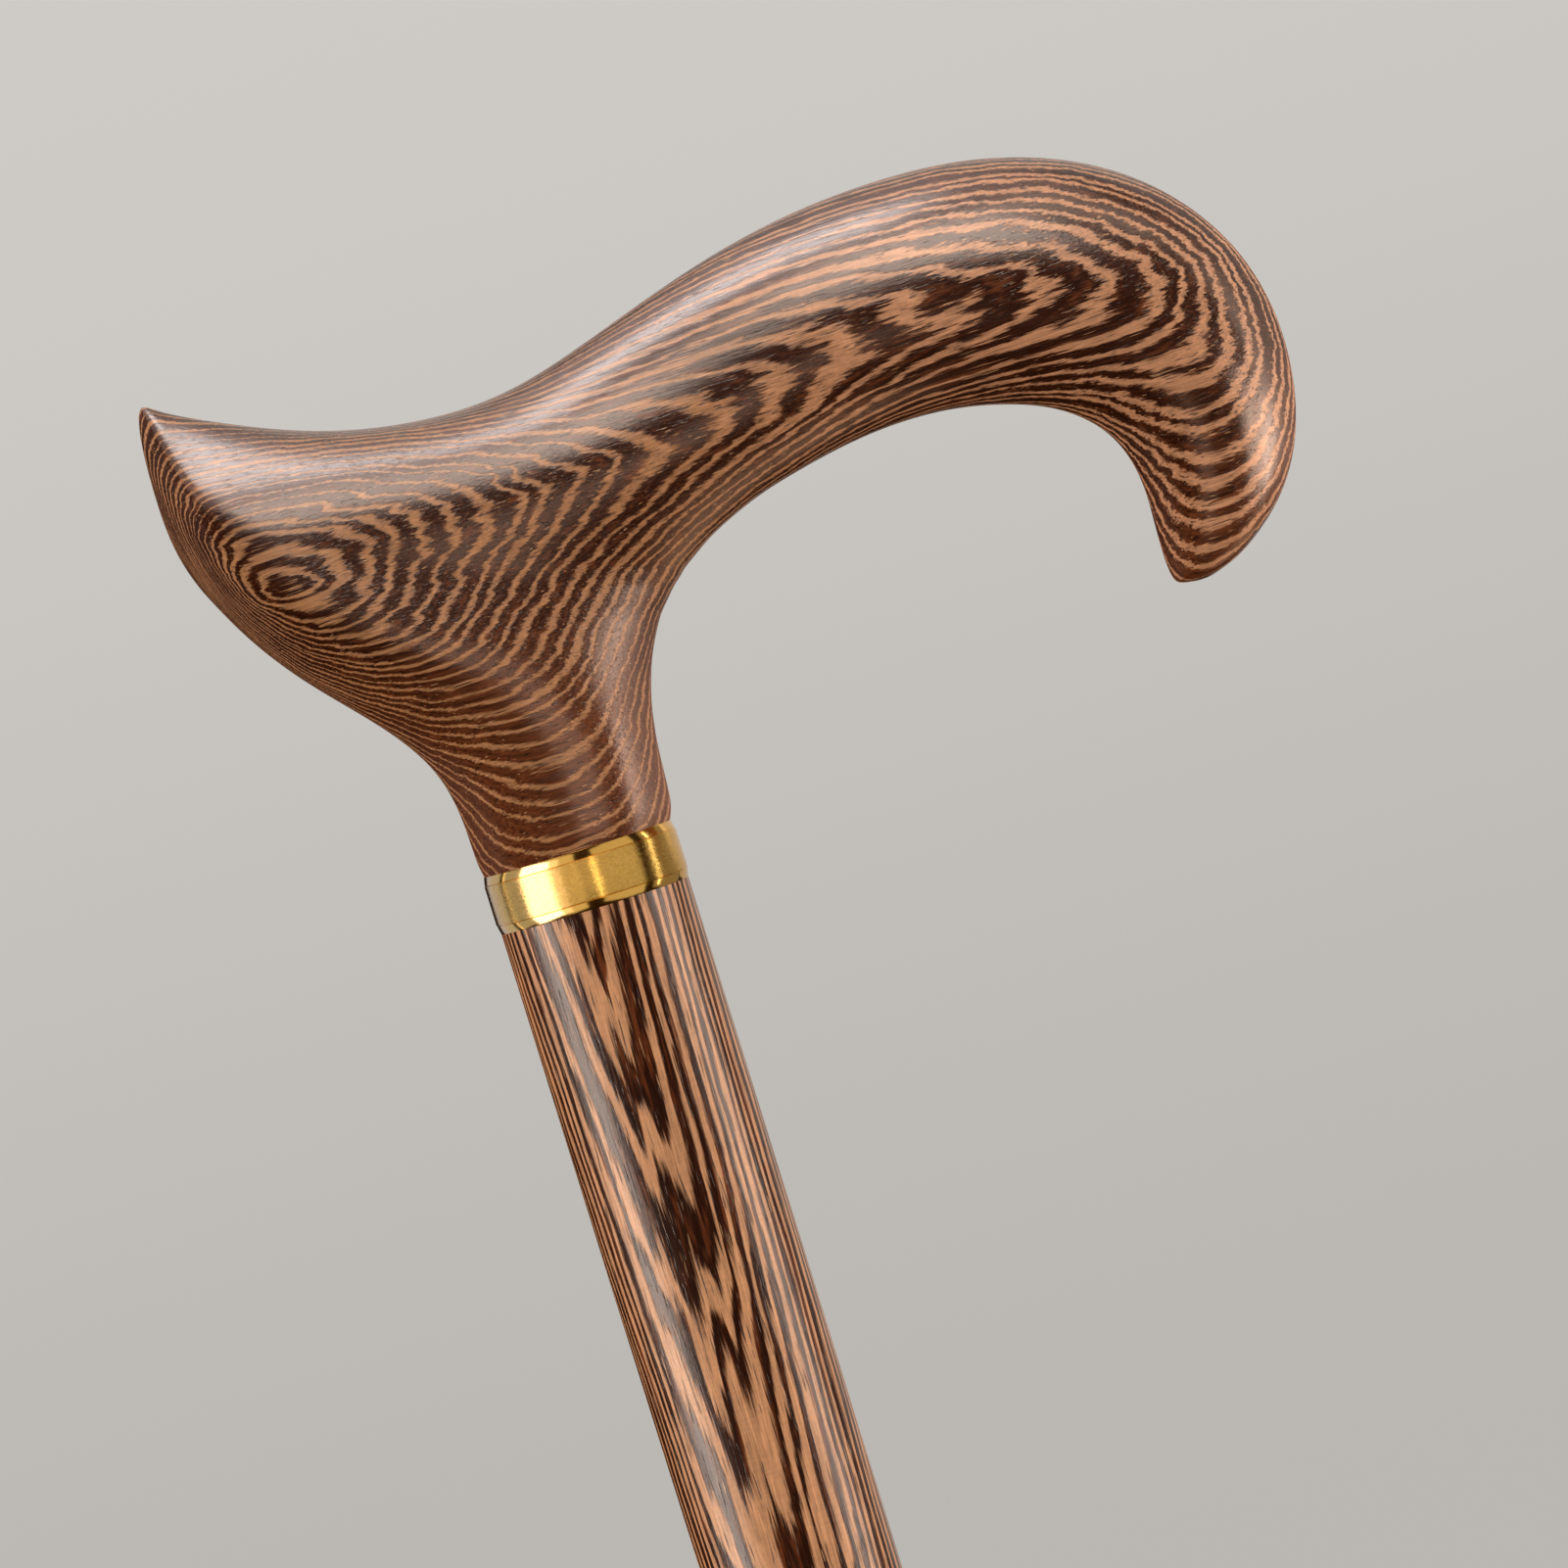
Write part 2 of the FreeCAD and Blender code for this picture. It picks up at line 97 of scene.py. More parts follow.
class Bench:
    """Lays out the shader nodes of one material or world.

    Attributes:
        tree: the node tree under work.
    """

    def __init__(self, tree: bpy.types.NodeTree) -> None:
        """Take over a tree and clear it."""
        self.tree = tree
        self.tree.nodes.clear()

    def node(self, kind: str, fed: Fed | None = None, **settings: object) -> bpy.types.Node:
        """Add a node.

        Args:
            kind: its type, without the ShaderNode prefix.
            fed: a socket or a plain value for each input, by name or number.
            settings: its own properties.

        Returns:
            The node.
        """
        made = self.tree.nodes.new("ShaderNode" + kind)
        for name, setting in settings.items():
            setattr(made, name, setting)
        for name, value in (fed or {}).items():
            if isinstance(value, Socket):
                self.tree.links.new(value, made.inputs[name])
            else:
                made.inputs[name].default_value = value
        return made

    def place(self, origin: Point = (0, 0, 0), along: Point = (1, 0, 0), across: Point = (0, 1, 0),
              unit: float = MM) -> Socket:
        """Measure the object's own coordinates from a turned frame.

        Args:
            origin: the frame's origin, in metres.
            along: the direction of the frame's X axis.
            across: the side on which the frame's Y axis lies.
            unit: the length of one step, in metres.

        Returns:
            The place in that frame, in steps.
        """
        first = Vector(along).normalized()
        third = first.cross(Vector(across)).normalized()
        turn = Matrix((first, third.cross(first), third)).transposed().to_euler()
        fed = {"Vector": self.node("TexCoord").outputs["Object"], "Location": origin, "Rotation": turn,
               "Scale": (unit, unit, unit)}
        return self.node("Mapping", fed, vector_type="TEXTURE").outputs["Vector"]

    def math(self, operation: str, *values: Value) -> Socket:
        """Work out one step of arithmetic."""
        return self.node("Math", dict(enumerate(values)), operation=operation).outputs[0]

    def scaled(self, value: Value, scale: Value, plus: Value) -> Socket:
        """Scale a value and add another to it."""
        return self.math("MULTIPLY_ADD", value, scale, plus)

    def parts(self, vector: Socket) -> tuple[Socket, Socket, Socket]:
        """Split a place into its three numbers."""
        return tuple(self.node("SeparateXYZ", {0: vector}).outputs)

    def join(self, *values: Value) -> Socket:
        """Join three numbers into a place or a colour."""
        return self.node("CombineXYZ", dict(enumerate(values))).outputs[0]

    def noise(self, vector: Socket, scale: Point, detail: float = 2.0, rough: float = 0.5,
              shift: Point = (0, 0, 0)) -> Socket:
        """Make smooth noise round zero, mostly from -0.25 to 0.25.

        Args:
            vector: where it is read.
            scale: how fast it changes along each axis, in changes for each step.
            detail: how many finer layers it has.
            rough: how strong the finer layers are.
            shift: moves the pattern.

        Returns:
            The noise.
        """
        mapping = self.node("Mapping", {"Vector": vector, "Scale": scale, "Location": shift},
                            vector_type="POINT")
        made = self.node("TexNoise", {"Vector": mapping.outputs["Vector"], "Scale": 1.0,
                                      "Detail": detail, "Roughness": rough}, noise_dimensions="3D")
        return self.math("SUBTRACT", made.outputs["Fac"], 0.5)

    def ease(self, value: Value, low: Value, high: Value, start: float = 0.0, end: float = 1.0) -> Socket:
        """Go smoothly from start to end while the value goes from low to high."""
        fed = {"Value": value, "From Min": low, "From Max": high, "To Min": start, "To Max": end}
        return self.node("MapRange", fed, interpolation_type="SMOOTHSTEP").outputs["Result"]

    def blend(self, share: Value, first: object, second: object, mode: str = "MIX") -> Socket:
        """Mix two colours."""
        fed = {0: share, 6: first, 7: second}
        return self.node("Mix", fed, data_type="RGBA", blend_type=mode).outputs[2]

    def toned(self, colour: object, tone: Socket) -> Socket:
        """Multiply a colour by a tone."""
        return self.blend(1.0, colour, self.join(tone, tone, tone), "MULTIPLY")

    def bump(self, height: Socket, depth: float) -> Socket:
        """Tilt the surface by a height pattern whose step from 0 to 1 is depth metres."""
        fed = {"Strength": 1.0, "Distance": depth, "Height": height}
        return self.node("Bump", fed).outputs["Normal"]

    def shade(self, kind: str, fed: Fed) -> Socket:
        """Add a shader and return its output."""
        return self.node(kind, fed).outputs[0]

    def mix(self, share: Socket, first: Socket, second: Socket) -> Socket:
        """Mix two shaders."""
        return self.shade("MixShader", {0: share, 1: first, 2: second})


def blank_material(name: str) -> tuple[bpy.types.Material, Bench]:
    """Make a material and the bench for its nodes.

    Args:
        name: the material's name.

    Returns:
        The material and its bench.
    """
    material = bpy.data.materials.new(name)
    material.use_nodes = True
    return material, Bench(material.node_tree)


class Finish:
    """A material that lays out its nodes on a bench of its own."""

    name: str

    def lay_out(self, bench: Bench) -> Fed:
        """Lay out the nodes and return what feeds the shader's sockets."""
        raise NotImplementedError

    def material(self) -> bpy.types.Material:
        """Build the material: its nodes feed one principled shader.

        Returns:
            The material.
        """
        material, bench = blank_material(self.name)
        bench.node("OutputMaterial", {"Surface": bench.shade("BsdfPrincipled", self.lay_out(bench))})
        return material


@dataclass(frozen=True)
class Wood(Finish):
    """A satin finished, dark striped hardwood, cut as a solid block out of a log.

    The growth rings are cylinders round a pith line, so that a carved surface shows them as loops and
    flames. Lengths are in millimetres, in the log's own measures: along the fibres, round the pith and
    out from it.

    Attributes:
        name: the material's name.
        middle: a point inside the block, in metres.
        depth: the way from the pith line to that point, in metres.
        fibres: the direction of the fibres.
        front: how far the block's skin lies from its middle, on the side that faces the pith.
        pitch: the distance from ring to ring on that side. Further out, they grow wider.
        phase: shifts the rings, in rings.
        grain: how fast the patterns change along the fibres.
        wander: how far the rings stray over the whole block.
        wave: how far they sway from side to side.
        crest: how much they rise away from the line that faces the pith, which points the loops.
        tooth: how far they splinter, at either end of fade.
        ragged: how ragged the stripes' edges are, at either end of fade.
        pale_share: how much of a ring is pale, at either end of fade.
        fade: where along the fibres, from the middle, the wood turns from its dark end to its pale end.
        pale: the pale stripes at the pale end.
        amber: the pale stripes at the dark end.
        dark: the dark stripes.
        brown: the dark stripes where they are lighter.
        browning: where round the pith, from the middle, the dark stripes start and stop to turn brown.
        pore: the pores, fine dark specks along the fibres.
        fleck: the flecks, fine pale ones.
        roughness: how matt the finish is along the fibres.
        end_grain: how much more matt it is across them.
    """

    name: str
    middle: Point
    depth: Point
    fibres: Point
    front: float = 16.0
    pitch: float = 1.1
    phase: float = 0.0
    grain: float = 1.0
    wander: float = 3.2
    wave: float = 1.6
    crest: float = 0.12
    tooth: tuple[float, float] = (0.6, 1.3)
    ragged: tuple[float, float] = (1.05, 1.25)
    pale_share: tuple[float, float] = (0.28, 0.36)
    fade: tuple[float, float] = (-20.0, 30.0)
    pale: Seen = (198, 136, 95)
    amber: Seen = (170, 113, 68)
    dark: Seen = (52, 16, 1)
    brown: Seen = (104, 50, 18)
    browning: tuple[float, float] = (-6.0, -34.0)
    pore: Seen = (34, 14, 6)
    fleck: Seen = (214, 158, 108)
    roughness: float = 0.26
    end_grain: float = 0.4

    def lay_out(self, bench: Bench) -> Fed:
        """Lay out rings, stripes, streaks, flecks and pores.

        Args:
            bench: where its nodes go.

        Returns:
            What feeds the shader.
        """
        log_place = self.log_place(bench)
        ring = self.rings(bench, log_place)
        stripe = self.stripe(bench, log_place, ring)
        colour = self.colour(bench, log_place, ring, stripe)
        pores = bench.ease(bench.noise(log_place, (0.16, 3.0, 3.0), 1.0, 0.5, (8.2, 5.3, 2.6)), 0.12, 0.21)
        colour = bench.blend(bench.math("MULTIPLY", pores, 0.75), colour, linear(self.pore))
        flecks = bench.ease(bench.noise(log_place, (0.18, 3.4, 3.4), 1.0, 0.5, (3.1, 9.4, 6.7)), 0.18, 0.26)
        colour = bench.blend(bench.math("MULTIPLY", flecks, 0.6), colour, linear(self.fleck))
        fibre = bench.noise(log_place, (0.12, 3.2, 3.2), 3.0, 0.65)
        relief = bench.math("ADD", fibre, bench.scaled(pores, -0.6, bench.scaled(stripe, -0.4, 1.0)))
        roughness = bench.scaled(fibre, 0.25, bench.scaled(stripe, 0.08, self.roughness))
        fed = {0: bench.node("TexCoord").outputs["Normal"], 1: Vector(self.fibres).normalized()}
        facing = bench.node("VectorMath", fed, operation="DOT_PRODUCT")
        across = bench.math("ABSOLUTE", facing.outputs["Value"])
        roughness = bench.math("ADD", roughness, bench.ease(across, 0.55, 0.95, 0.0, self.end_grain))
        return {
            "Base Color": colour,
            "Roughness": roughness,
            "Normal": bench.bump(relief, 0.03 * MM),
            "Specular IOR Level": 0.8,
            "Specular Tint": linear((255, 234, 218)),
        }

    def log_place(self, bench: Bench) -> Socket:
        """Measure each place along the fibres, round the pith and out from it.

        Args:
            bench: where its nodes go.

        Returns:
            The place in the log.
        """
        middle, depth = Vector(self.middle), Vector(self.depth)
        along, across, up = bench.parts(bench.place(tuple(middle - depth), self.fibres, self.depth))
        length = bench.node("VectorMath", {0: bench.join(0.0, across, up)}, operation="LENGTH")
        turn = bench.math("ARCTAN2", up, across)
        return bench.join(along, bench.math("MULTIPLY", turn, depth.length / MM), length.outputs["Value"])

    def rings(self, bench: Bench, log_place: Socket) -> Socket:
        """Count the growth rings from the pith to each place, some years wide and others narrow.

        Args:
            bench: where its nodes go.
            log_place: the place in the log.

        Returns:
            The ring count.
        """
        along, around, radius = bench.parts(log_place)
        rise = bench.math("SQRT", bench.scaled(around, around, 4.0))
        radius = bench.scaled(rise, self.crest, radius)
        wander = bench.noise(log_place, (0.018 * self.grain, 0.05, 0.02), 1.0)
        radius = bench.scaled(wander, self.wander, radius)
        wave = bench.noise(log_place, (0.09 * self.grain, 0.30, 0.10), 2.0)
        radius = bench.scaled(wave, self.wave, radius)
        teeth = bench.noise(log_place, (0.13 * self.grain, 1.2, 0.5), 3.0, 0.6)
        radius = bench.scaled(teeth, bench.ease(along, *self.fade, *self.tooth), radius)
        near = Vector(self.depth).length / MM - self.front
        ring = bench.math("LOGARITHM", bench.math("MULTIPLY", radius, 1 / near), math.e)
        ring = bench.scaled(ring, near / self.pitch, self.phase)
        years = bench.node("TexNoise", {"W": ring, "Scale": 0.5, "Detail": 1.0}, noise_dimensions="1D")
        return bench.math("ADD", bench.math("SUBTRACT", years.outputs["Fac"], 0.5), ring)

    def stripe(self, bench: Bench, log_place: Socket, ring: Socket) -> Socket:
        """Turn the ring count into stripes.

        Args:
            bench: where its nodes go.
            log_place: the place in the log.
            ring: the ring count.

        Returns:
            The stripes, 1 where pale and 0 where dark.
        """
        peak = bench.math("MULTIPLY", bench.math("PINGPONG", ring, 0.5), 2.0)
        along, _, _ = bench.parts(log_place)
        share = bench.ease(along, *self.fade, *self.pale_share)
        patch = bench.noise(log_place, (0.03, 0.10, 0.20), 2.0)
        share = bench.scaled(patch, 0.7, share)
        ragged = bench.noise(log_place, (0.30 * self.grain, 4.2, 2.6), 3.0, 0.65)
        ragged = bench.math("MULTIPLY", ragged, bench.ease(along, *self.fade, *self.ragged))
        edge = bench.math("SUBTRACT", bench.math("ADD", ragged, 1.0), share)
        return bench.ease(peak, bench.math("SUBTRACT", edge, 0.20), bench.math("ADD", edge, 0.14))

    def colour(self, bench: Bench, log_place: Socket, ring: Socket, stripe: Socket) -> Socket:
        """Colour the stripes, with the drift along the block and the streaks along the fibres.

        Args:
            bench: where its nodes go.
            log_place: the place in the log.
            ring: the ring count.
            stripe: the stripes, 1 where pale.

        Returns:
            The colour.
        """
        along, around, _ = bench.parts(log_place)
        drift = bench.noise(log_place, (0.03, 0.06, 0.06), 1.0)
        mottle = bench.noise(log_place, (0.5, 2.4, 2.4), 2.0)
        drift = bench.scaled(mottle, 1.6, drift)
        blonde = bench.math("ADD", bench.ease(along, *self.fade), drift)
        pale = bench.blend(blonde, linear(self.amber), linear(self.pale))
        depth = bench.ease(bench.noise(log_place, (0.05, 0.7, 1.2), 3.0, 0.6), 0.0, 0.25, -0.15, 0.85)
        hair = bench.math("PINGPONG", bench.math("MULTIPLY", ring, 2.7), 0.5)
        hair = bench.math("POWER", bench.math("MULTIPLY", hair, 2.0), 3.0)
        depth = bench.scaled(hair, 0.5, depth)
        strand = bench.noise(log_place, (0.18, 3.0, 3.0), 2.0, 0.6)
        depth = bench.scaled(strand, 1.8, depth)
        depth = bench.math("ADD", depth, bench.ease(around, *self.browning, 0.0, 0.8))
        dark = bench.blend(depth, linear(self.dark), linear(self.brown))
        colour = bench.blend(stripe, dark, pale)
        lines = bench.noise(log_place, (0.06, 0.8, 4.0), 3.0, 0.6)
        streak = bench.noise(log_place, (0.12, 5.0, 3.0), 3.0, 0.6)
        tone = bench.scaled(bench.math("ADD", lines, streak), 1.25, 1.03)
        ripple = bench.noise(log_place, (2.6, 0.5, 0.5), 2.0)
        tone = bench.scaled(ripple, 0.35, tone)
        return bench.toned(colour, tone)


@dataclass(frozen=True)
class Brass(Finish):
    """Yellow brass, brushed round the axis or polished, clouded from bright to deep."""

    name: str
    polish: Polish
    bright: Seen = (244, 194, 100)
    deep: Seen = (236, 176, 82)

    def lay_out(self, bench: Bench) -> Fed:
        """Lay out the brush lines or the faint marks of polishing.

        Args:
            bench: where its nodes go.

        Returns:
            What feeds the shader.
        """
        place = bench.place()
        x, y, z = bench.parts(place)
        cloud = bench.noise(place, (0.12, 0.12, 0.2))
        colour = bench.blend(bench.math("ADD", cloud, 0.5), linear(self.bright), linear(self.deep))
        if self.polish is Polish.POLISHED:
            marks = bench.noise(place, (0.6, 0.6, 3.0))
            return {
                "Base Color": colour,
                "Roughness": bench.scaled(marks, 0.06, 0.12),
                "Normal": bench.bump(marks, 0.004 * MM),
                "Metallic": 1.0,
            }
        turn = bench.math("ARCTAN2", y, x)
        around = bench.join(bench.math("COSINE", turn), bench.math("SINE", turn), z)
        lines = bench.noise(around, (7.0, 7.0, 5.0), 2.0, 0.6)
        grit = bench.noise(around, (32.0, 32.0, 4.0), 2.0, 0.6)
        relief = bench.scaled(grit, 0.6, lines)
        shade = bench.scaled(bench.math("ADD", relief, grit), 0.45, 1.0)
        return {
            "Base Color": bench.toned(colour, shade),
            "Roughness": bench.scaled(lines, 0.2, 0.29),
            "Normal": bench.bump(relief, 0.02 * MM),
            "Metallic": 1.0,
            "Anisotropic": 1.0,
            "Anisotropic Rotation": 0.25,
            "Tangent": bench.node("Tangent", direction_type="RADIAL", axis="Z").outputs[0],
        }


@dataclass(frozen=True)
class Rubber(Finish):
    """Matt black moulded rubber with a dusty bloom, scuffed towards the floor."""

    name: str
    black: Seen = (26, 26, 27)
    dusty: Seen = (58, 56, 54)
    scuffed_height: float = 9.0

    def lay_out(self, bench: Bench) -> Fed:
        """Lay out bloom, scuffs and grain.

        Args:
            bench: where its nodes go.

        Returns:
            What feeds the shader.
        """
        place = bench.place()
        _, _, z = bench.parts(place)
        bloom = bench.noise(place, (0.08, 0.08, 0.05), 3.0)
        scuff = bench.ease(z, 0.0, self.scuffed_height, 0.35, 0.0)
        dust = bench.math("ADD", bench.scaled(bloom, 0.8, 0.25), scuff)
        grain = bench.noise(place, (3.0, 3.0, 3.0), 3.0, 0.6)
        return {
            "Base Color": bench.blend(dust, linear(self.black), linear(self.dusty)),
            "Roughness": bench.scaled(bloom, 0.25, 0.62),
            "Normal": bench.bump(grain, 0.04 * MM),
        }


@dataclass(frozen=True)
class Steel(Finish):
    """Plain turned steel with fine lines round the axis, clouded from bright to dull."""

    name: str
    bright: Seen = (168, 170, 174)
    dull: Seen = (134, 136, 140)

    def lay_out(self, bench: Bench) -> Fed:
        """Lay out turning lines and faint clouds.

        Args:
            bench: where its nodes go.

        Returns:
            What feeds the shader.
        """
        place = bench.place()
        lines = bench.noise(place, (0.3, 0.3, 9.0))
        cloud = bench.noise(place, (0.2, 0.2, 0.2))
        return {
            "Base Color": bench.blend(bench.math("ADD", cloud, 0.5), linear(self.bright),
                                      linear(self.dull)),
            "Roughness": bench.scaled(lines, 0.2, 0.36),
            "Normal": bench.bump(lines, 0.02 * MM),
            "Metallic": 1.0,
        }


def skin(name: str, rings: Sequence[Sequence[Vector]], sharp_rims: bool = False) -> Piece:
    """Cover a row of rings with one skin: a circle, extruded from ring to ring.

    Args:
        name: the piece's name.
        rings: the rings' points. If the last ring is the first one again, the skin closes on itself,
            and otherwise each end is closed by a flat face.
        sharp_rims: whether the end rings are creased for a later subdivision.

    Returns:
        The piece, selected, in object mode.
    """
    bpy.ops.object.select_all(action="DESELECT")
    bpy.ops.mesh.primitive_circle_add(vertices=len(rings[0]), radius=rings[0][0].length)
    piece = bpy.context.object
    piece.name = piece.data.name = name
    bpy.ops.object.mode_set(mode="EDIT")
    bpy.ops.mesh.select_mode(type="VERT")
    mesh = bmesh.from_edit_mesh(piece.data)
    order = mesh.verts.layers.int.new("order")
    for number, point in enumerate(sorted(mesh.verts, key=lambda point: point.index)):
        point[order] = number
        point.co = rings[0][number]
    for ring in rings[1:]:
        bpy.ops.mesh.extrude_edges_move()
        mesh = bmesh.from_edit_mesh(piece.data)
        order = mesh.verts.layers.int["order"]
        for point in mesh.verts:
            if point.select:
                point.co = ring[point[order]]
        bmesh.update_edit_mesh(piece.data)
    mesh.verts.layers.int.remove(order)
    bpy.ops.mesh.select_all(action="SELECT")
    bpy.ops.mesh.remove_doubles(threshold=MM / 1000)
    if sharp_rims:
        mesh = bmesh.from_edit_mesh(piece.data)
        crease = mesh.edges.layers.float.new("crease_edge")
        for edge in mesh.edges:
            edge[crease] = 1.0 if edge.is_boundary else 0.0
        bmesh.update_edit_mesh(piece.data)
    bpy.ops.mesh.fill_holes(sides=0)
    bpy.ops.mesh.select_all(action="SELECT")
    bpy.ops.mesh.normals_make_consistent(inside=False)
    bpy.ops.object.mode_set(mode="OBJECT")
    return piece


def shape(piece: Piece, kind: str, **settings: object) -> None:
    """Add a modifier to a piece and apply it at once.

    Args:
        piece: the piece, active and in object mode.
        kind: the modifier's type.
        settings: its properties.
    """
    modifier = piece.modifiers.new(kind.lower(), kind)
    for name, value in settings.items():
        setattr(modifier, name, value)
    bpy.ops.object.modifier_apply(modifier=modifier.name)


def dress(piece: Piece, crease: float, finishes: Iterable[Finish], body: Body,
          nodes: Iterable[str]) -> Piece:
    """Smooth a piece, give it its materials, tie it to its body and hide the nodes that it replaces.

    Args:
        piece: the piece, selected and in object mode.
        crease: the angle from which its edges stay sharp, in degrees.
        finishes: its finishes.
        body: its body.
        nodes: the model's nodes that it replaces.

    Returns:
        The piece.
    """
    bpy.ops.object.shade_smooth_by_angle(angle=math.radians(crease))
    for finish in finishes:
        piece.data.materials.append(finish.material())
    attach(piece, body.value)
    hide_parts(*nodes)
    log.info("%s: %d faces on %s", piece.name, len(piece.data.polygons), body.value)
    return piece


@dataclass
class Outline:
    """Half the section of a turned piece, as (radius, height) points along its skin."""

    points: list[tuple[float, float]] = field(default_factory=list)

    def to(self, radius: float, height: float) -> "Outline":
        """Go straight to a point."""
        self.points.append((radius, height))
        return self

    def arc(self, radius: float, height: float, size: float, start: float, end: float,
            steps: int = 6) -> "Outline":
        """Go round an arc.

        Args:
            radius: the arc's centre, from the axis.
            height: the arc's centre, above the floor.
            size: the arc's own radius.
            start: its first angle in degrees, from outwards towards up.
            end: its last angle.
            steps: how many steps it takes.

        Returns:
            The outline.
        """
        for step in range(steps + 1):
            turn = math.radians(start + (end - start) * step / steps)
            self.to(radius + size * math.cos(turn), height + size * math.sin(turn))
        return self

    def spin(self, name: str, sides: int) -> Piece:
        """Turn the outline into a piece."""
        turns = [2 * math.pi * side / sides for side in range(sides)]
        return skin(name, [[Vector((radius * math.cos(turn), radius * math.sin(turn), height))
                            for turn in turns] for radius, height in self.points])


@dataclass
class Handle:
    """The carved handle: neck, pointed nose, saddle, arched grip and down-turned beak.

    Each ring crosses the block from an outer point, on the nose side or the top, to an inner point
    underneath. The rings run from the neck's foot over the nose and along the grip to the beak's end.

    Attributes:
        wood: its finish.
        foot: the height of the neck's flat foot.
        length: from the nose to the beak's back.
        rise: from the foot to the top of the arch.
        half_width: half the grip's greatest width.
        neck_radius: the radius of the neck's foot.
        ring_points: points in a ring.
        levels: how often the cage is halved.
        narrowing_share: how much a fully pointed ring narrows on its outer side.
    """

    wood: Wood
    foot: float
    length: float = 125.7 * MM
    rise: float = 60.4 * MM
    half_width: float = 16.2 * MM
    neck_radius: float = 10.7 * MM
    ring_points: int = 16
    levels: int = 3
    narrowing_share: float = 0.45

    # outer x, outer z, inner x, inner z, half width: shares of the neck's radius and of the rise
    NECK_SHARES = (
        (-1.000, 0.000, 1.000, 0.000, 1.000),
        (-1.028, 0.040, 1.065, 0.036, 1.037),
        (-1.047, 0.123, 1.093, 0.103, 1.056),
        (-1.196, 0.222, 1.140, 0.179, 1.093),
    )
    # outer x, outer z, inner x, inner z, half width, lean of the widest point towards the outer side,
    # sag of the ring's middle in x and z, how pointed the outer side is: shares of the length, the
    # rise and the half width. What a short row leaves out is zero
    HANDLE_SHARES = (
        (-0.137, 0.328, 0.105, 0.245, 0.784, 0.15),
        (-0.186, 0.444, 0.114, 0.295, 0.877, 0.25, -0.004, -0.013, 0.00),
        (-0.226, 0.573, 0.123, 0.331, 0.951, 0.33, -0.013, -0.036, 0.10),
        (-0.249, 0.705, 0.132, 0.361, 0.988, 0.38, -0.027, -0.070, 0.30),
        (-0.260, 0.834, 0.142, 0.384, 1.000, 0.40, -0.035, -0.106, 0.60),
        # the nose's end face meets its top along the middle one of these three rings
        (-0.259, 0.949, 0.150, 0.402, 0.994, 0.40, -0.042, -0.139, 0.95),
        (-0.251, 0.997, 0.158, 0.416, 0.988, 0.40, -0.045, -0.149, 1.00),
        (-0.234, 0.978, 0.165, 0.429, 0.981, 0.38, -0.040, -0.119, 0.95),
        # saddle
        (-0.186, 0.927, 0.178, 0.447, 0.951, 0.32, -0.024, -0.073, 0.60),
        (-0.111, 0.864, 0.196, 0.470, 0.895, 0.24, -0.011, -0.033, 0.20),
        (-0.027, 0.829, 0.220, 0.493, 0.840, 0.15, -0.004, -0.010, 0.00),
        (0.060, 0.831, 0.251, 0.517, 0.809, 0.06),
        # grip
        (0.151, 0.882, 0.291, 0.538, 0.821),
        (0.247, 0.945, 0.337, 0.556, 0.858),
        (0.342, 0.987, 0.387, 0.565, 0.901),
        (0.438, 1.000, 0.436, 0.560, 0.932),
        (0.525, 0.983, 0.482, 0.540, 0.932),
        # beak
        (0.605, 0.927, 0.523, 0.507, 0.901),
        (0.671, 0.831, 0.555, 0.457, 0.840),
        (0.718, 0.695, 0.574, 0.394, 0.753),
        (0.737, 0.540, 0.581, 0.321, 0.654),
        (0.730, 0.379, 0.580, 0.248, 0.543),
        (0.700, 0.248, 0.579, 0.185, 0.426),
        (0.656, 0.166, 0.581, 0.144, 0.309),
        (0.628, 0.137, 0.587, 0.131, 0.185),
        (0.613, 0.127, 0.600, 0.126, 0.056),
    )

    def ring(self, row: Sequence[float]) -> list[Vector]:
        """Work out one ring's points.

        Args:
            row: its row, with lengths in metres in place of shares.

        Returns:
            The points.
        """
        outer_x, outer_z, inner_x, inner_z, width, lean, sag_x, sag_z, point = row
        points = []
        for number in range(self.ring_points):
            turn = 2 * math.pi * number / self.ring_points
            sine2 = math.sin(turn) ** 2
            outward = max(math.cos(turn), 0) ** 2
            across = (1 - math.cos(turn) - lean * sine2) / 2
            x = outer_x + (inner_x - outer_x) * across + sag_x * sine2 ** 2
            z = outer_z + (inner_z - outer_z) * across + sag_z * sine2 * (1 + point * outward)
            y = -width * math.sin(turn) * (1 - self.narrowing_share * point * outward)
            points.append(Vector((x, y, self.foot + z)))
        return points

    def rings(self) -> list[list[Vector]]:
        """List the rings that the skin passes through.

        Returns:
            The rings.
        """
        rings = []
        for rows, along, across in ((self.NECK_SHARES, self.neck_radius, self.neck_radius),
                                    (self.HANDLE_SHARES, self.length, self.half_width)):
            sizes = (along, self.rise, along, self.rise, across, 1, along, self.rise, 1)
            for row in rows:
                full = row + (0,) * (len(sizes) - len(row))
                rings.append(self.ring([share * size for share, size in zip(full, sizes)]))
        return rings

    @staticmethod
    def smoothed(cage: list[list[Vector]]) -> list[list[Vector]]:
        """Find where the smooth skin lies beside each point of its cage.

        Args:
            cage: the cage's rings.

        Returns:
            The skin's rings.
        """
        def average(before: Vector, here: Vector, after: Vector) -> Vector:
            """Weigh three points as the smooth skin does."""
            return (before + here * 4 + after) / 6
        rounds = [[average(*three) for three in zip(ring[-1:] + ring, ring, ring[1:] + ring[:1])]
                  for ring in cage]
        inner = [[average(*three) for three in zip(*rows)]
                 for rows in zip(rounds, rounds[1:], rounds[2:])]
        return [rounds[0]] + inner + [rounds[-1]]

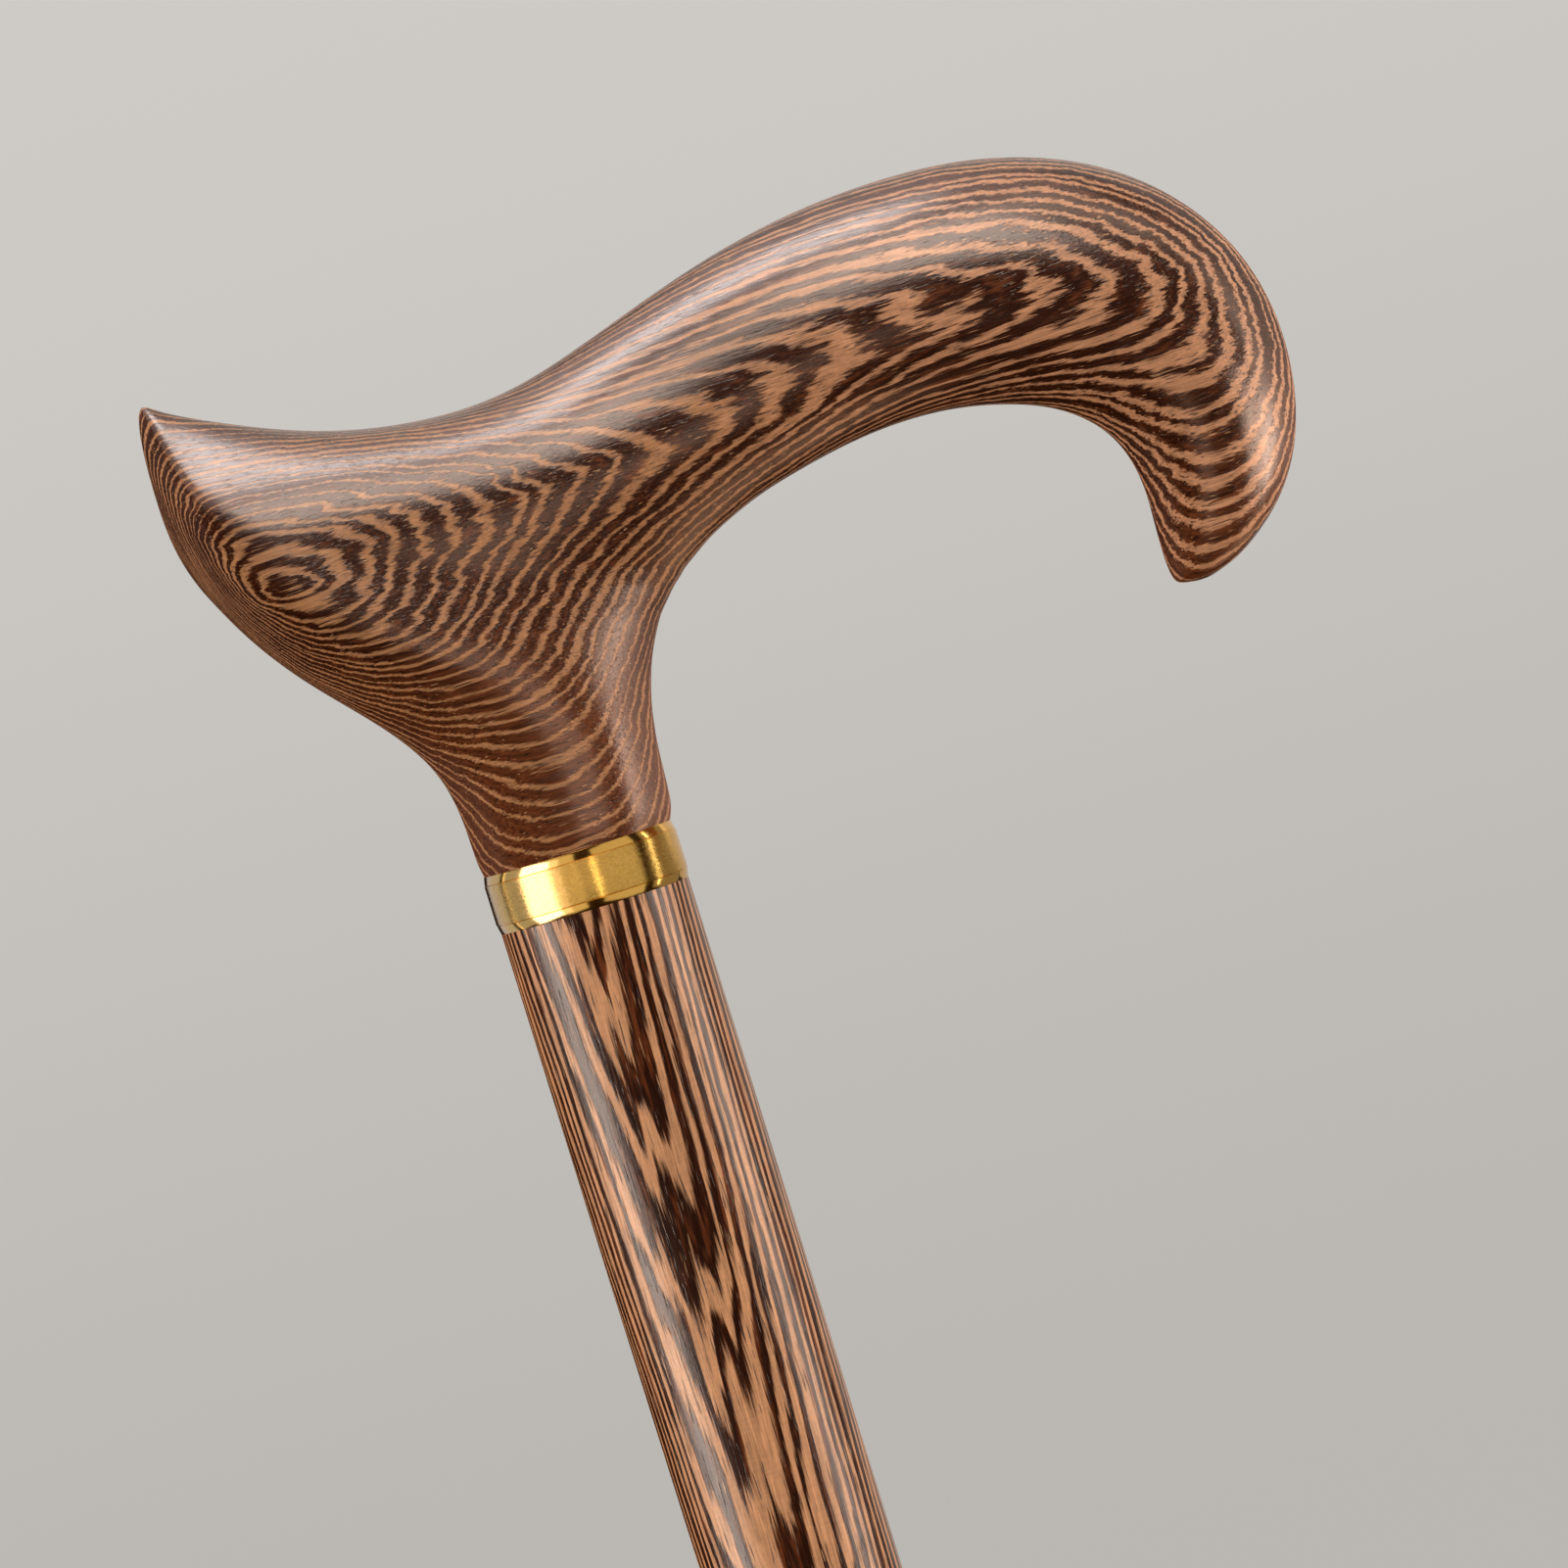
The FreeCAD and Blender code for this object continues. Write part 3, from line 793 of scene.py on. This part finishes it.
    def cage(self, rounds: int = 3) -> list[list[Vector]]:
        """Move the cage out until its smooth skin passes through the rings.

        Args:
            rounds: how often it is moved.

        Returns:
            The cage's rings.
        """
        goals = self.rings()
        cage = goals
        for _ in range(rounds):
            missed = self.smoothed(cage)
            cage = [[point + goal - now for point, goal, now in zip(*three)]
                    for three in zip(cage, goals, missed)]
        return cage

    def build(self) -> Piece:
        """Carve the handle and dress it.

        Returns:
            The piece.
        """
        piece = skin("carved_handle", self.cage(), sharp_rims=True)
        shape(piece, "SUBSURF", levels=self.levels, render_levels=self.levels)
        return dress(piece, 50, [self.wood], Body.CANE, ["handle"])


@dataclass
class Collar:
    """The brass ring over the joint: brushed, with a polished bevelled band at each end.

    Attributes:
        foot: its lower face.
        top: its upper face.
        radius: its outer radius.
        wall: its thickness.
        band: the height of a polished band.
        band_depth: how far a band falls away towards its edge.
        line_depth: the depth of the fine line between band and middle.
        edge: the radius of its worn edges.
        sides: points round it.
    """

    foot: float
    top: float
    radius: float
    wall: float = 1.2 * MM
    band: float = 1.0 * MM
    band_depth: float = 0.25 * MM
    line_depth: float = 0.06 * MM
    edge: float = 0.05 * MM
    sides: int = 160

    def build(self) -> Piece:
        """Turn the ring, round its edges and dress it.

        Returns:
            The piece.
        """
        bore = self.radius - self.wall
        rim = self.radius - self.band_depth
        low, high = self.foot + self.band, self.top - self.band
        line = self.line_depth
        section = Outline()
        section.to(bore, self.foot).to(rim, self.foot).to(self.radius - line, low - line)
        section.to(self.radius - 2 * line, low).to(self.radius, low + line)
        section.to(self.radius, high - line).to(self.radius - 2 * line, high)
        section.to(self.radius - line, high + line).to(rim, self.top).to(bore, self.top)
        section.to(bore, self.foot)
        piece = section.spin("brass_collar", self.sides)
        shape(piece, "BEVEL", width=self.edge, segments=2, limit_method="ANGLE",
              angle_limit=math.radians(60))
        finishes = [Brass("brushed_brass", Polish.BRUSHED), Brass("polished_brass", Polish.POLISHED)]
        dress(piece, 25, finishes, Body.CANE, ["collar"])
        for face in piece.data.polygons:
            face.material_index = 0 if low < face.center.z < high else 1
        return piece


@dataclass
class Shaft:
    """The turned stick, with a seat for the collar, a long taper and a parallel end for the tip.

    Attributes:
        wood: its finish.
        end: the height of its floor end.
        shoulder: where the collar sits.
        top: the top of the seat.
    """

    wood: Wood
    end: float
    shoulder: float
    top: float
    radius: float = 10.75 * MM
    end_radius: float = 9.0 * MM
    seat_radius: float = 9.75 * MM
    clip_zone: float = 40 * MM
    end_zone: float = 42 * MM
    chamfer: float = 0.8 * MM
    face_radius: float = 6.6 * MM
    step: float = 30 * MM
    sides: int = 128

    def build(self) -> Piece:
        """Turn the stick and dress it.

        Returns:
            The piece.
        """
        section = Outline().to(self.face_radius, self.end)
        section.to(self.end_radius - self.chamfer, self.end)
        section.to(self.end_radius, self.end + self.chamfer)
        low, high = self.end + self.end_zone, self.shoulder - self.clip_zone
        steps = round((high - low) / self.step)
        for number in range(steps + 1):
            share = number / steps
            section.to(self.end_radius + (self.radius - self.end_radius) * share,
                       low + (high - low) * share)
        section.to(self.radius, self.shoulder).to(self.seat_radius, self.shoulder)
        section.to(self.seat_radius, self.top)
        piece = section.spin("turned_shaft", self.sides)
        return dress(piece, 25, [self.wood], Body.CANE, ["shaft"])


@dataclass
class RubberTip:
    """The pull-on tip: a flared cup with beads round its neck, ribs in its bore and ring treads.

    Inside hub_radius, the floor face and the bore's floor are one face each.
    """

    height: float
    tread_radius: float = 15.5 * MM
    base_radius: float = 17.0 * MM
    neck_radius: float = 12.5 * MM
    bore_radius: float = 9.4 * MM
    foot_height: float = 3.0 * MM
    base_height: float = 9.0 * MM
    flare_height: float = 20.0 * MM
    floor: float = 13.0 * MM
    bead_height: float = 2.4 * MM
    bead_depth: float = 0.9 * MM
    bead_pitch: float = 4.4 * MM
    bead_count: int = 3
    rib_height: float = 1.6 * MM
    rib_depth: float = 0.35 * MM
    rib_pitch: float = 8.0 * MM
    rib_count: int = 3
    hub_radius: float = 1.125 * MM
    pad_radius: float = 4.5 * MM
    tread_groove: float = 1.8 * MM
    tread_pitch: float = 3.6 * MM
    tread_depth: float = 2.5 * MM
    tread_count: int = 3
    rim: float = 1.0 * MM
    edge: float = 0.3 * MM
    sides: int = 128

    def treads(self, section: Outline) -> None:
        """Cross the floor face from the middle pad over the ring grooves.

        Args:
            section: the outline so far.
        """
        section.to(self.hub_radius, 0)
        for number in range(self.tread_count):
            inner = self.pad_radius + number * self.tread_pitch
            section.to(inner, 0).to(inner, self.tread_depth)
            section.to(inner + self.tread_groove, self.tread_depth).to(inner + self.tread_groove, 0)

    def beads(self, section: Outline) -> None:
        """Climb the neck over its beads to the rim.

        Args:
            section: the outline so far.
        """
        foot = self.height - self.rim - self.bead_height - (self.bead_count - 1) * self.bead_pitch
        half = self.bead_height / 2
        steps = 8
        for number in range(self.bead_count):
            low = foot + number * self.bead_pitch
            for step in range(steps + 1):
                turn = math.pi * step / steps
                section.to(self.neck_radius + self.bead_depth * math.sin(turn),
                           low + half - half * math.cos(turn))

    def bore(self, section: Outline) -> None:
        """Go down the bore over its ribs to its floor.

        Args:
            section: the outline so far.
        """
        for number in reversed(range(self.rib_count)):
            low = self.floor + self.rib_pitch + number * self.rib_pitch
            section.to(self.bore_radius, low + self.rib_height)
            section.to(self.bore_radius - self.rib_depth, low + self.rib_height * 2 / 3)
            section.to(self.bore_radius - self.rib_depth, low + self.rib_height / 3)
            section.to(self.bore_radius, low)
        section.to(self.bore_radius, self.floor).to(self.hub_radius, self.floor)

    def build(self) -> Piece:
        """Mould the tip and dress it.

        Returns:
            The piece.
        """
        section = Outline()
        self.treads(section)
        section.to(self.tread_radius, 0).to(self.base_radius, self.foot_height)
        section.to(self.base_radius, self.base_height)
        steps = 10
        for step in range(1, steps + 1):
            share = step / steps
            ease = share * share * (3 - 2 * share) * 0.5 + share * 0.5
            section.to(self.base_radius + (self.neck_radius - self.base_radius) * ease,
                       self.base_height + (self.flare_height - self.base_height) * share)
        self.beads(section)
        section.arc(self.neck_radius - self.rim, self.height - self.rim, self.rim, 0, 90)
        section.arc(self.bore_radius + self.rim, self.height - self.rim, self.rim, 90, 180)
        self.bore(section)
        piece = section.spin("rubber_ferrule", self.sides)
        shape(piece, "BEVEL", width=self.edge, segments=2, limit_method="ANGLE",
              angle_limit=math.radians(40))
        return dress(piece, 30, [Rubber("moulded_rubber")], Body.TIP, ["rubber_tip"])


@dataclass
class Hardware:
    """The steel pieces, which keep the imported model's own shapes."""

    nodes: Sequence[str] = ("joint_stud", "tip_washer")

    def build(self) -> None:
        """Dress the stud and the washer in steel."""
        steel = Steel("turned_steel").material()
        for name in self.nodes:
            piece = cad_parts[name]
            piece.data.materials.clear()
            piece.data.materials.append(steel)
            log.info("%s: dressed", name)


@dataclass(frozen=True)
class Softbox:
    """A lamp as a plain glowing sheet.

    Attributes:
        name: its name.
        turn: its direction from the cane, in degrees round from the camera, left negative.
        height: its direction above level, in degrees.
        distance: how far it stands from the cane.
        width: its width.
        tall: its height.
        glow: how bright its sheet is, where 1 is white.
        tint: its colour.
        lights: whether it lights matt surfaces.
        shines: whether glossy surfaces mirror it.
    """

    name: str
    turn: float
    height: float
    distance: float
    width: float
    tall: float
    glow: float
    tint: Point = (1, 1, 1)
    lights: bool = False
    shines: bool = True


@dataclass
class Studio:
    """Pale floor, pale surroundings, soft lamps, dark tent and the camera.

    Angles are in degrees. The tent's are those of its opening, round from the camera and above level,
    and its gap is the opening's half width.

    Attributes:
        middle: the point that the lamps face.
        pieces: the dressed piece of each finish.
        aim: how far right of the shaft's axis the camera aims.
    """

    middle: Vector
    pieces: dict[Slot, Piece]
    aim: float = 23.8 * MM
    azimuth: float = -10.0
    elevation: float = 1.5
    roll: float = 17.25
    distance: float = 1.3
    field_width: float = 172.3 * MM
    sensor: float = 36.0
    floor_radius: float = 6.5
    fade_start: float = 0.6
    fade_end: float = 3.0
    floor_pale: Seen = (226, 223, 218)
    pale: Seen = (206, 203, 198)
    shade: Seen = (186, 183, 178)
    ambient: float = 0.6
    cloth: Point = (0.020, 0.010, 0.005)
    tent_radius: float = 3.0
    tent_turn: float = 156.0
    tent_height: float = 12.0
    tent_gap: float = 31.0

    # which finishes the lamps are turned on for, or none for all, and the lamps
    LAMPS = (
        ((), (Softbox("top_sheet", -120, 80, 1.1, 2.0, 1.8, 1.25, (1, 0.84, 0.8)),)),
        ((Slot.HANDLE_WOOD,), (
            Softbox("arch_sheet", 82, 44, 1.2, 0.5, 0.78, 2.1, (1, 0.88, 0.8)),
            Softbox("saddle_lamp", 171, 85, 0.37, 0.22, 0.14, 8.6, (0.9, 0.98, 1.08)),
            Softbox("front_sheet", 28, 46, 1.2, 0.8, 0.95, 6),
            Softbox("right_sheet", 91, -8, 1.2, 0.4, 1.1, 3.5, (1, 0.84, 0.74)),
            Softbox("neck_front", 25, -5, 0.1, 0.06, 0.04, 1.9, (1, 0.8, 0.7)),
            Softbox("neck_right", 88, -2, 0.13, 0.05, 0.03, 8, (1, 0.84, 0.74)),
            Softbox("low_lamp", 125, -50, 0.9, 0.6, 0.6, 1.2, (1, 0.62, 0.4), lights=True),
        )),
        ((Slot.SHAFT_WOOD,), (
            Softbox("shaft_right", 83, -2, 1.2, 0.7, 1.5, 3.1),
            Softbox("shaft_left", -69, -2, 1.3, 0.62, 1.55, 5.8),
        )),
        ((Slot.BRASS,), (
            Softbox("brass_left", -60, 0, 1.3, 0.92, 1.9, 4.5, (0.95, 1, 1.7)),
            Softbox("brass_left_edge", -34, 0, 1.3, 0.3, 1.9, 0.7, (0.95, 1, 1.7)),
            Softbox("brass_rim", -93, 0, 1.3, 0.65, 1.5, 0.5, (0.8, 0.95, 1.5)),
            Softbox("brass_left_line", -108, 0, 1.2, 0.04, 1.5, 2),
            Softbox("brass_far_left", -134, 0, 1.3, 0.85, 1.5, 0.6, (0.8, 0.95, 1.5)),
            Softbox("brass_front_left", -25, 0, 0.9, 0.58, 1.5, 0.72),
            Softbox("brass_front_low", 4, 0, 0.9, 0.4, 0.5, 0.95),
            Softbox("brass_front_right", 43, 0, 0.9, 0.95, 1.5, 0.6),
            Softbox("brass_line", 13, 0, 1.2, 0.05, 0.7, 8, (1, 0.95, 0.7)),
            Softbox("brass_right_line", 92, 0, 1.2, 0.04, 1.2, 6),
            Softbox("brass_right", 108, 0, 1.2, 1.1, 1.5, 0.25),
        )),
        ((), (Softbox("key_lamp", 10, 40, 1.6, 1.8, 1.6, 1.12, lights=True, shines=False),)),
        (tuple(Slot), (
            Softbox("left_fill", -108, 0, 1.4, 1.0, 1.6, 2.4, (1, 0.86, 0.76), True, False),
            Softbox("right_fill", 108, 0, 1.4, 1.0, 1.6, 1.9, (1, 0.86, 0.76), True, False),
        )),
    )

    def camera(self) -> None:
        """Stand the camera where the picture was taken from."""
        roll = math.radians(self.roll)
        back, level = self.direction(0, self.elevation), self.direction(90, 0)
        upright = back.cross(level)
        right = level * math.cos(roll) - upright * math.sin(roll)
        up = level * math.sin(roll) + upright * math.cos(roll)
        place = Matrix((right, up, back)).transposed().to_4x4()
        place.translation = self.middle + level * self.aim + back * self.distance
        lens = bpy.data.cameras.new("picture_camera")
        lens.sensor_width = self.sensor
        lens.lens = self.sensor * self.distance / self.field_width
        camera = bpy.data.objects.new("picture_camera", lens)
        camera.matrix_world = place
        bpy.context.scene.collection.objects.link(camera)
        bpy.context.scene.camera = camera

    def direction(self, turn: float, height: float) -> Vector:
        """Find a direction from its angle round from the camera and its angle above level."""
        around, above = math.radians(self.azimuth + turn), math.radians(height)
        return Vector((math.sin(around) * math.cos(above), -math.cos(around) * math.cos(above),
                       math.sin(above)))

    def softbox(self, box: Softbox, only: Sequence[Slot]) -> None:
        """Hang one lamp.

        Args:
            box: the lamp.
            only: the finishes that it is turned on for, or none for all.
        """
        lamp = bpy.data.lights.new(box.name, "AREA")
        lamp.shape = "RECTANGLE"
        lamp.size, lamp.size_y = box.width, box.tall
        lamp.energy = box.glow * math.pi * box.width * box.tall
        lamp.color = box.tint
        holder = bpy.data.objects.new(box.name, lamp)
        away = self.direction(box.turn, box.height)
        holder.location = self.middle + away * box.distance
        holder.rotation_mode = "QUATERNION"
        holder.rotation_quaternion = (-away).to_track_quat("-Z", "Y")
        holder.visible_camera = False
        holder.visible_diffuse = box.lights
        holder.visible_glossy = box.shines
        bpy.context.scene.collection.objects.link(holder)
        if only:
            lit = bpy.data.collections.new(box.name)
            for slot in only:
                lit.objects.link(self.pieces[slot])
            holder.light_linking.receiver_collection = lit

    def floor(self) -> None:
        """Lay the pale floor, which stays under the tip and fades into the surroundings at its rim."""
        bpy.ops.object.select_all(action="DESELECT")
        bpy.ops.mesh.primitive_circle_add(vertices=96, radius=self.floor_radius, fill_type="NGON")
        floor = bpy.context.object
        floor.name = "floor"
        material, bench = blank_material("pale_floor")
        x, y, _ = bench.parts(bench.place(unit=1.0))
        reach = bench.math("SQRT", bench.scaled(x, x, bench.math("MULTIPLY", y, y)))
        seen = bench.node("LightPath").outputs["Is Camera Ray"]
        fade = bench.math("MULTIPLY", seen, bench.ease(reach, self.fade_start, self.fade_end))
        paint = bench.shade("BsdfPrincipled", {"Base Color": linear(self.floor_pale), "Roughness": 0.9,
                                               "Specular IOR Level": 0.1})
        glow = bench.shade("Emission", {"Color": linear(self.shade)})
        bench.node("OutputMaterial", {"Surface": bench.mix(fade, paint, glow)})
        floor.data.materials.append(material)
        floor.visible_glossy = False
        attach(floor, Body.TIP.value)

    def dark_tent(self) -> None:
        """Pitch a dark tent round the cane, open behind it, which only glossy surfaces mirror."""
        bpy.ops.object.select_all(action="DESELECT")
        bpy.ops.mesh.primitive_uv_sphere_add(segments=72, ring_count=36, radius=self.tent_radius,
                                             location=self.middle)
        tent = bpy.context.object
        tent.name = "dark_tent"
        behind = self.direction(self.tent_turn, self.tent_height)
        bpy.ops.object.mode_set(mode="EDIT")
        bpy.ops.mesh.select_mode(type="FACE")
        mesh = bmesh.from_edit_mesh(tent.data)
        for face in mesh.faces:
            face.select_set(face.calc_center_median().angle(behind) < math.radians(self.tent_gap))
        bmesh.update_edit_mesh(tent.data)
        bpy.ops.mesh.delete(type="FACE")
        bpy.ops.object.mode_set(mode="OBJECT")
        material, bench = blank_material("dark_cloth")
        bench.node("OutputMaterial", {"Surface": bench.shade("Emission", {"Color": (*self.cloth, 1.0)})})
        tent.data.materials.append(material)
        tent.visible_camera = tent.visible_diffuse = False
        tent.visible_shadow = tent.visible_transmission = False

    def surroundings(self) -> None:
        """Make the pale surroundings, darker low down, and their plain light."""
        world = bpy.data.worlds.new("pale_surroundings")
        world.use_nodes = True
        bpy.context.scene.world = world
        bench = Bench(world.node_tree)
        _, _, up = bench.parts(bench.node("TexCoord").outputs["Generated"])
        rise = bench.ease(up, -0.10, 0.06)
        path = bench.node("LightPath")
        seen = bench.math("ADD", path.outputs["Is Camera Ray"], path.outputs["Is Glossy Ray"])
        seen = bench.math("MINIMUM", bench.math("ADD", seen, path.outputs["Is Transmission Ray"]), 1.0)
        colour = bench.blend(rise, linear(self.shade), linear(self.pale))
        shown = bench.shade("Background", {"Color": colour})
        plain = bench.shade("Background", {"Strength": self.ambient, "Color": (1.0, 1.0, 1.0, 1.0)})
        bench.node("OutputWorld", {"Surface": bench.mix(seen, plain, shown)})

    def build(self) -> None:
        """Set the studio up."""
        bpy.context.scene.view_settings.view_transform = "Standard"
        self.camera()
        for only, boxes in self.LAMPS:
            for box in boxes:
                self.softbox(box, only)
        self.floor()
        self.dark_tent()
        self.surroundings()
        log.info("studio: %d lamps", sum(len(boxes) for _, boxes in self.LAMPS))


def main() -> None:
    """Build the cane and its studio, piece by piece."""
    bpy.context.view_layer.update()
    handle_low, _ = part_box("handle")
    collar_low, collar_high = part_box("collar")
    shaft_low, shaft_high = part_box("shaft")
    _, tip_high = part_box("rubber_tip")
    block = Wood("handle_wood", middle=(20 * MM, 0, handle_low.z + 37.6 * MM), depth=(0, 56 * MM, 0),
                 fibres=(1, -0.177, 0.025), phase=0.9)
    stick = Wood("shaft_wood", middle=(0, 0, collar_low.z), depth=(15 * MM, 37 * MM, 0),
                 fibres=(0.018, 0.044, 1), front=10.75, pitch=0.95, grain=0.3, wave=2.2, crest=0.0,
                 tooth=(0.7, 0.7), ragged=(1.0, 1.0), pale_share=(0.41, 0.41), pale=(206, 143, 100),
                 amber=(208, 144, 97), dark=(46, 14, 1), brown=(112, 50, 12))
    pieces = {
        Slot.HANDLE_WOOD: Handle(block, handle_low.z).build(),
        Slot.BRASS: Collar(collar_low.z, collar_high.z, collar_high.x).build(),
        Slot.SHAFT_WOOD: Shaft(stick, shaft_low.z, collar_low.z, shaft_high.z).build(),
        Slot.RUBBER: RubberTip(tip_high.z).build(),
    }
    Hardware().build()
    Studio(Vector((0, 0, collar_high.z)), pieces).build()


if __name__ == "__main__":
    main()
